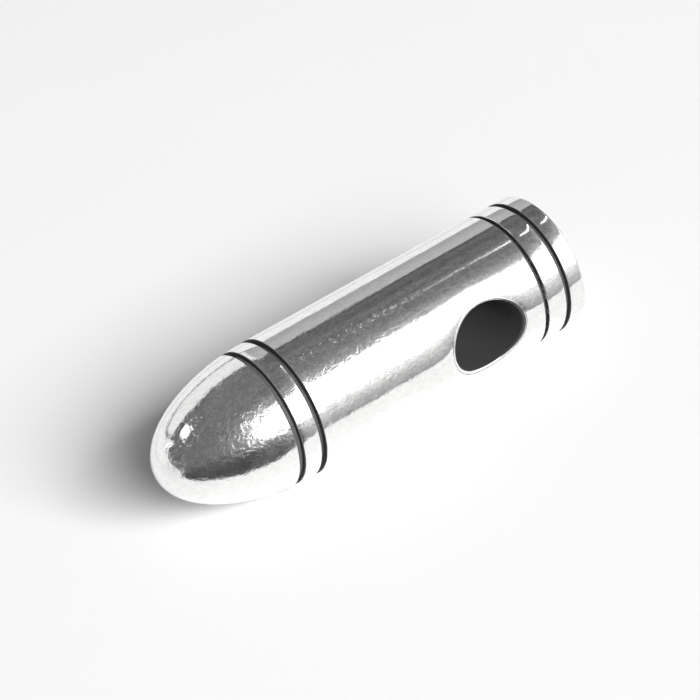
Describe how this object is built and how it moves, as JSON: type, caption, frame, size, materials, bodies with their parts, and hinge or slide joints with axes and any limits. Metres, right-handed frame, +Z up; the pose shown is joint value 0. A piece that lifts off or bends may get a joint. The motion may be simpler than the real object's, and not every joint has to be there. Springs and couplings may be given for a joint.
{
  "type": "cryptex capsule",
  "caption": "Polished bullet-shaped capsule for a cord; two plain combination rings lock a nose and core that pull out of the barrel, past a lined cross hole.",
  "frame": {"origin": "on the surface that the capsule lies on, under the middle of its length", "axes": "+X from nose to base along the capsule, +Y along the cord hole, +Z up"},
  "size_m": [0.0388, 0.012, 0.012],
  "materials": {
    "polished_silver": "hand-polished to a mirror, with a faint ripple and fine wipe marks",
    "blackened_silver": "dull black oxide in the grooves",
    "blackened_bore": "dull black oxide in the hole, polished bright on the rounded lips",
    "satin_steel": "fine turned satin",
    "spring_steel": "bright spring strip",
    "brass": "turned and lightly polished",
    "seal_rubber": "smooth, slightly greasy"
  },
  "bodies": {
    "barrel": {"base_cap": "polished_silver", "rear_outer_washer": "blackened_silver", "rear_inner_washer": "blackened_silver", "rear_wave_spring": "spring_steel", "barrel_shell": "polished_silver", "cord_bush": "blackened_bore", "front_wave_spring": "spring_steel", "front_inner_washer": "blackened_silver", "front_outer_washer": "blackened_silver", "retaining_clip": "spring_steel", "inner_sleeve": "satin_steel"},
    "nose_and_core": {"core_tube": "brass", "rear_lock_pin": "satin_steel", "front_lock_pin": "satin_steel", "core_seal": "seal_rubber", "nose_screw": "satin_steel", "nose_cap": "polished_silver"},
    "front_ring_body": {"front_ring": "polished_silver"},
    "rear_ring_body": {"rear_ring": "polished_silver"}
  },
  "joints": [
    {"name": "core_slide", "type": "slide", "parent": "barrel", "child": "nose_and_core", "axis": [-1, 0, 0], "range_m": [0, 0.028]},
    {"name": "front_ring_turn", "type": "hinge", "parent": "barrel", "child": "front_ring_body", "pos_m": [-0.00865, 0, 0.00599], "axis": [1, 0, 0], "continuous": true},
    {"name": "rear_ring_turn", "type": "hinge", "parent": "barrel", "child": "rear_ring_body", "pos_m": [0.01638, 0, 0.00599], "axis": [1, 0, 0], "continuous": true}
  ]
}
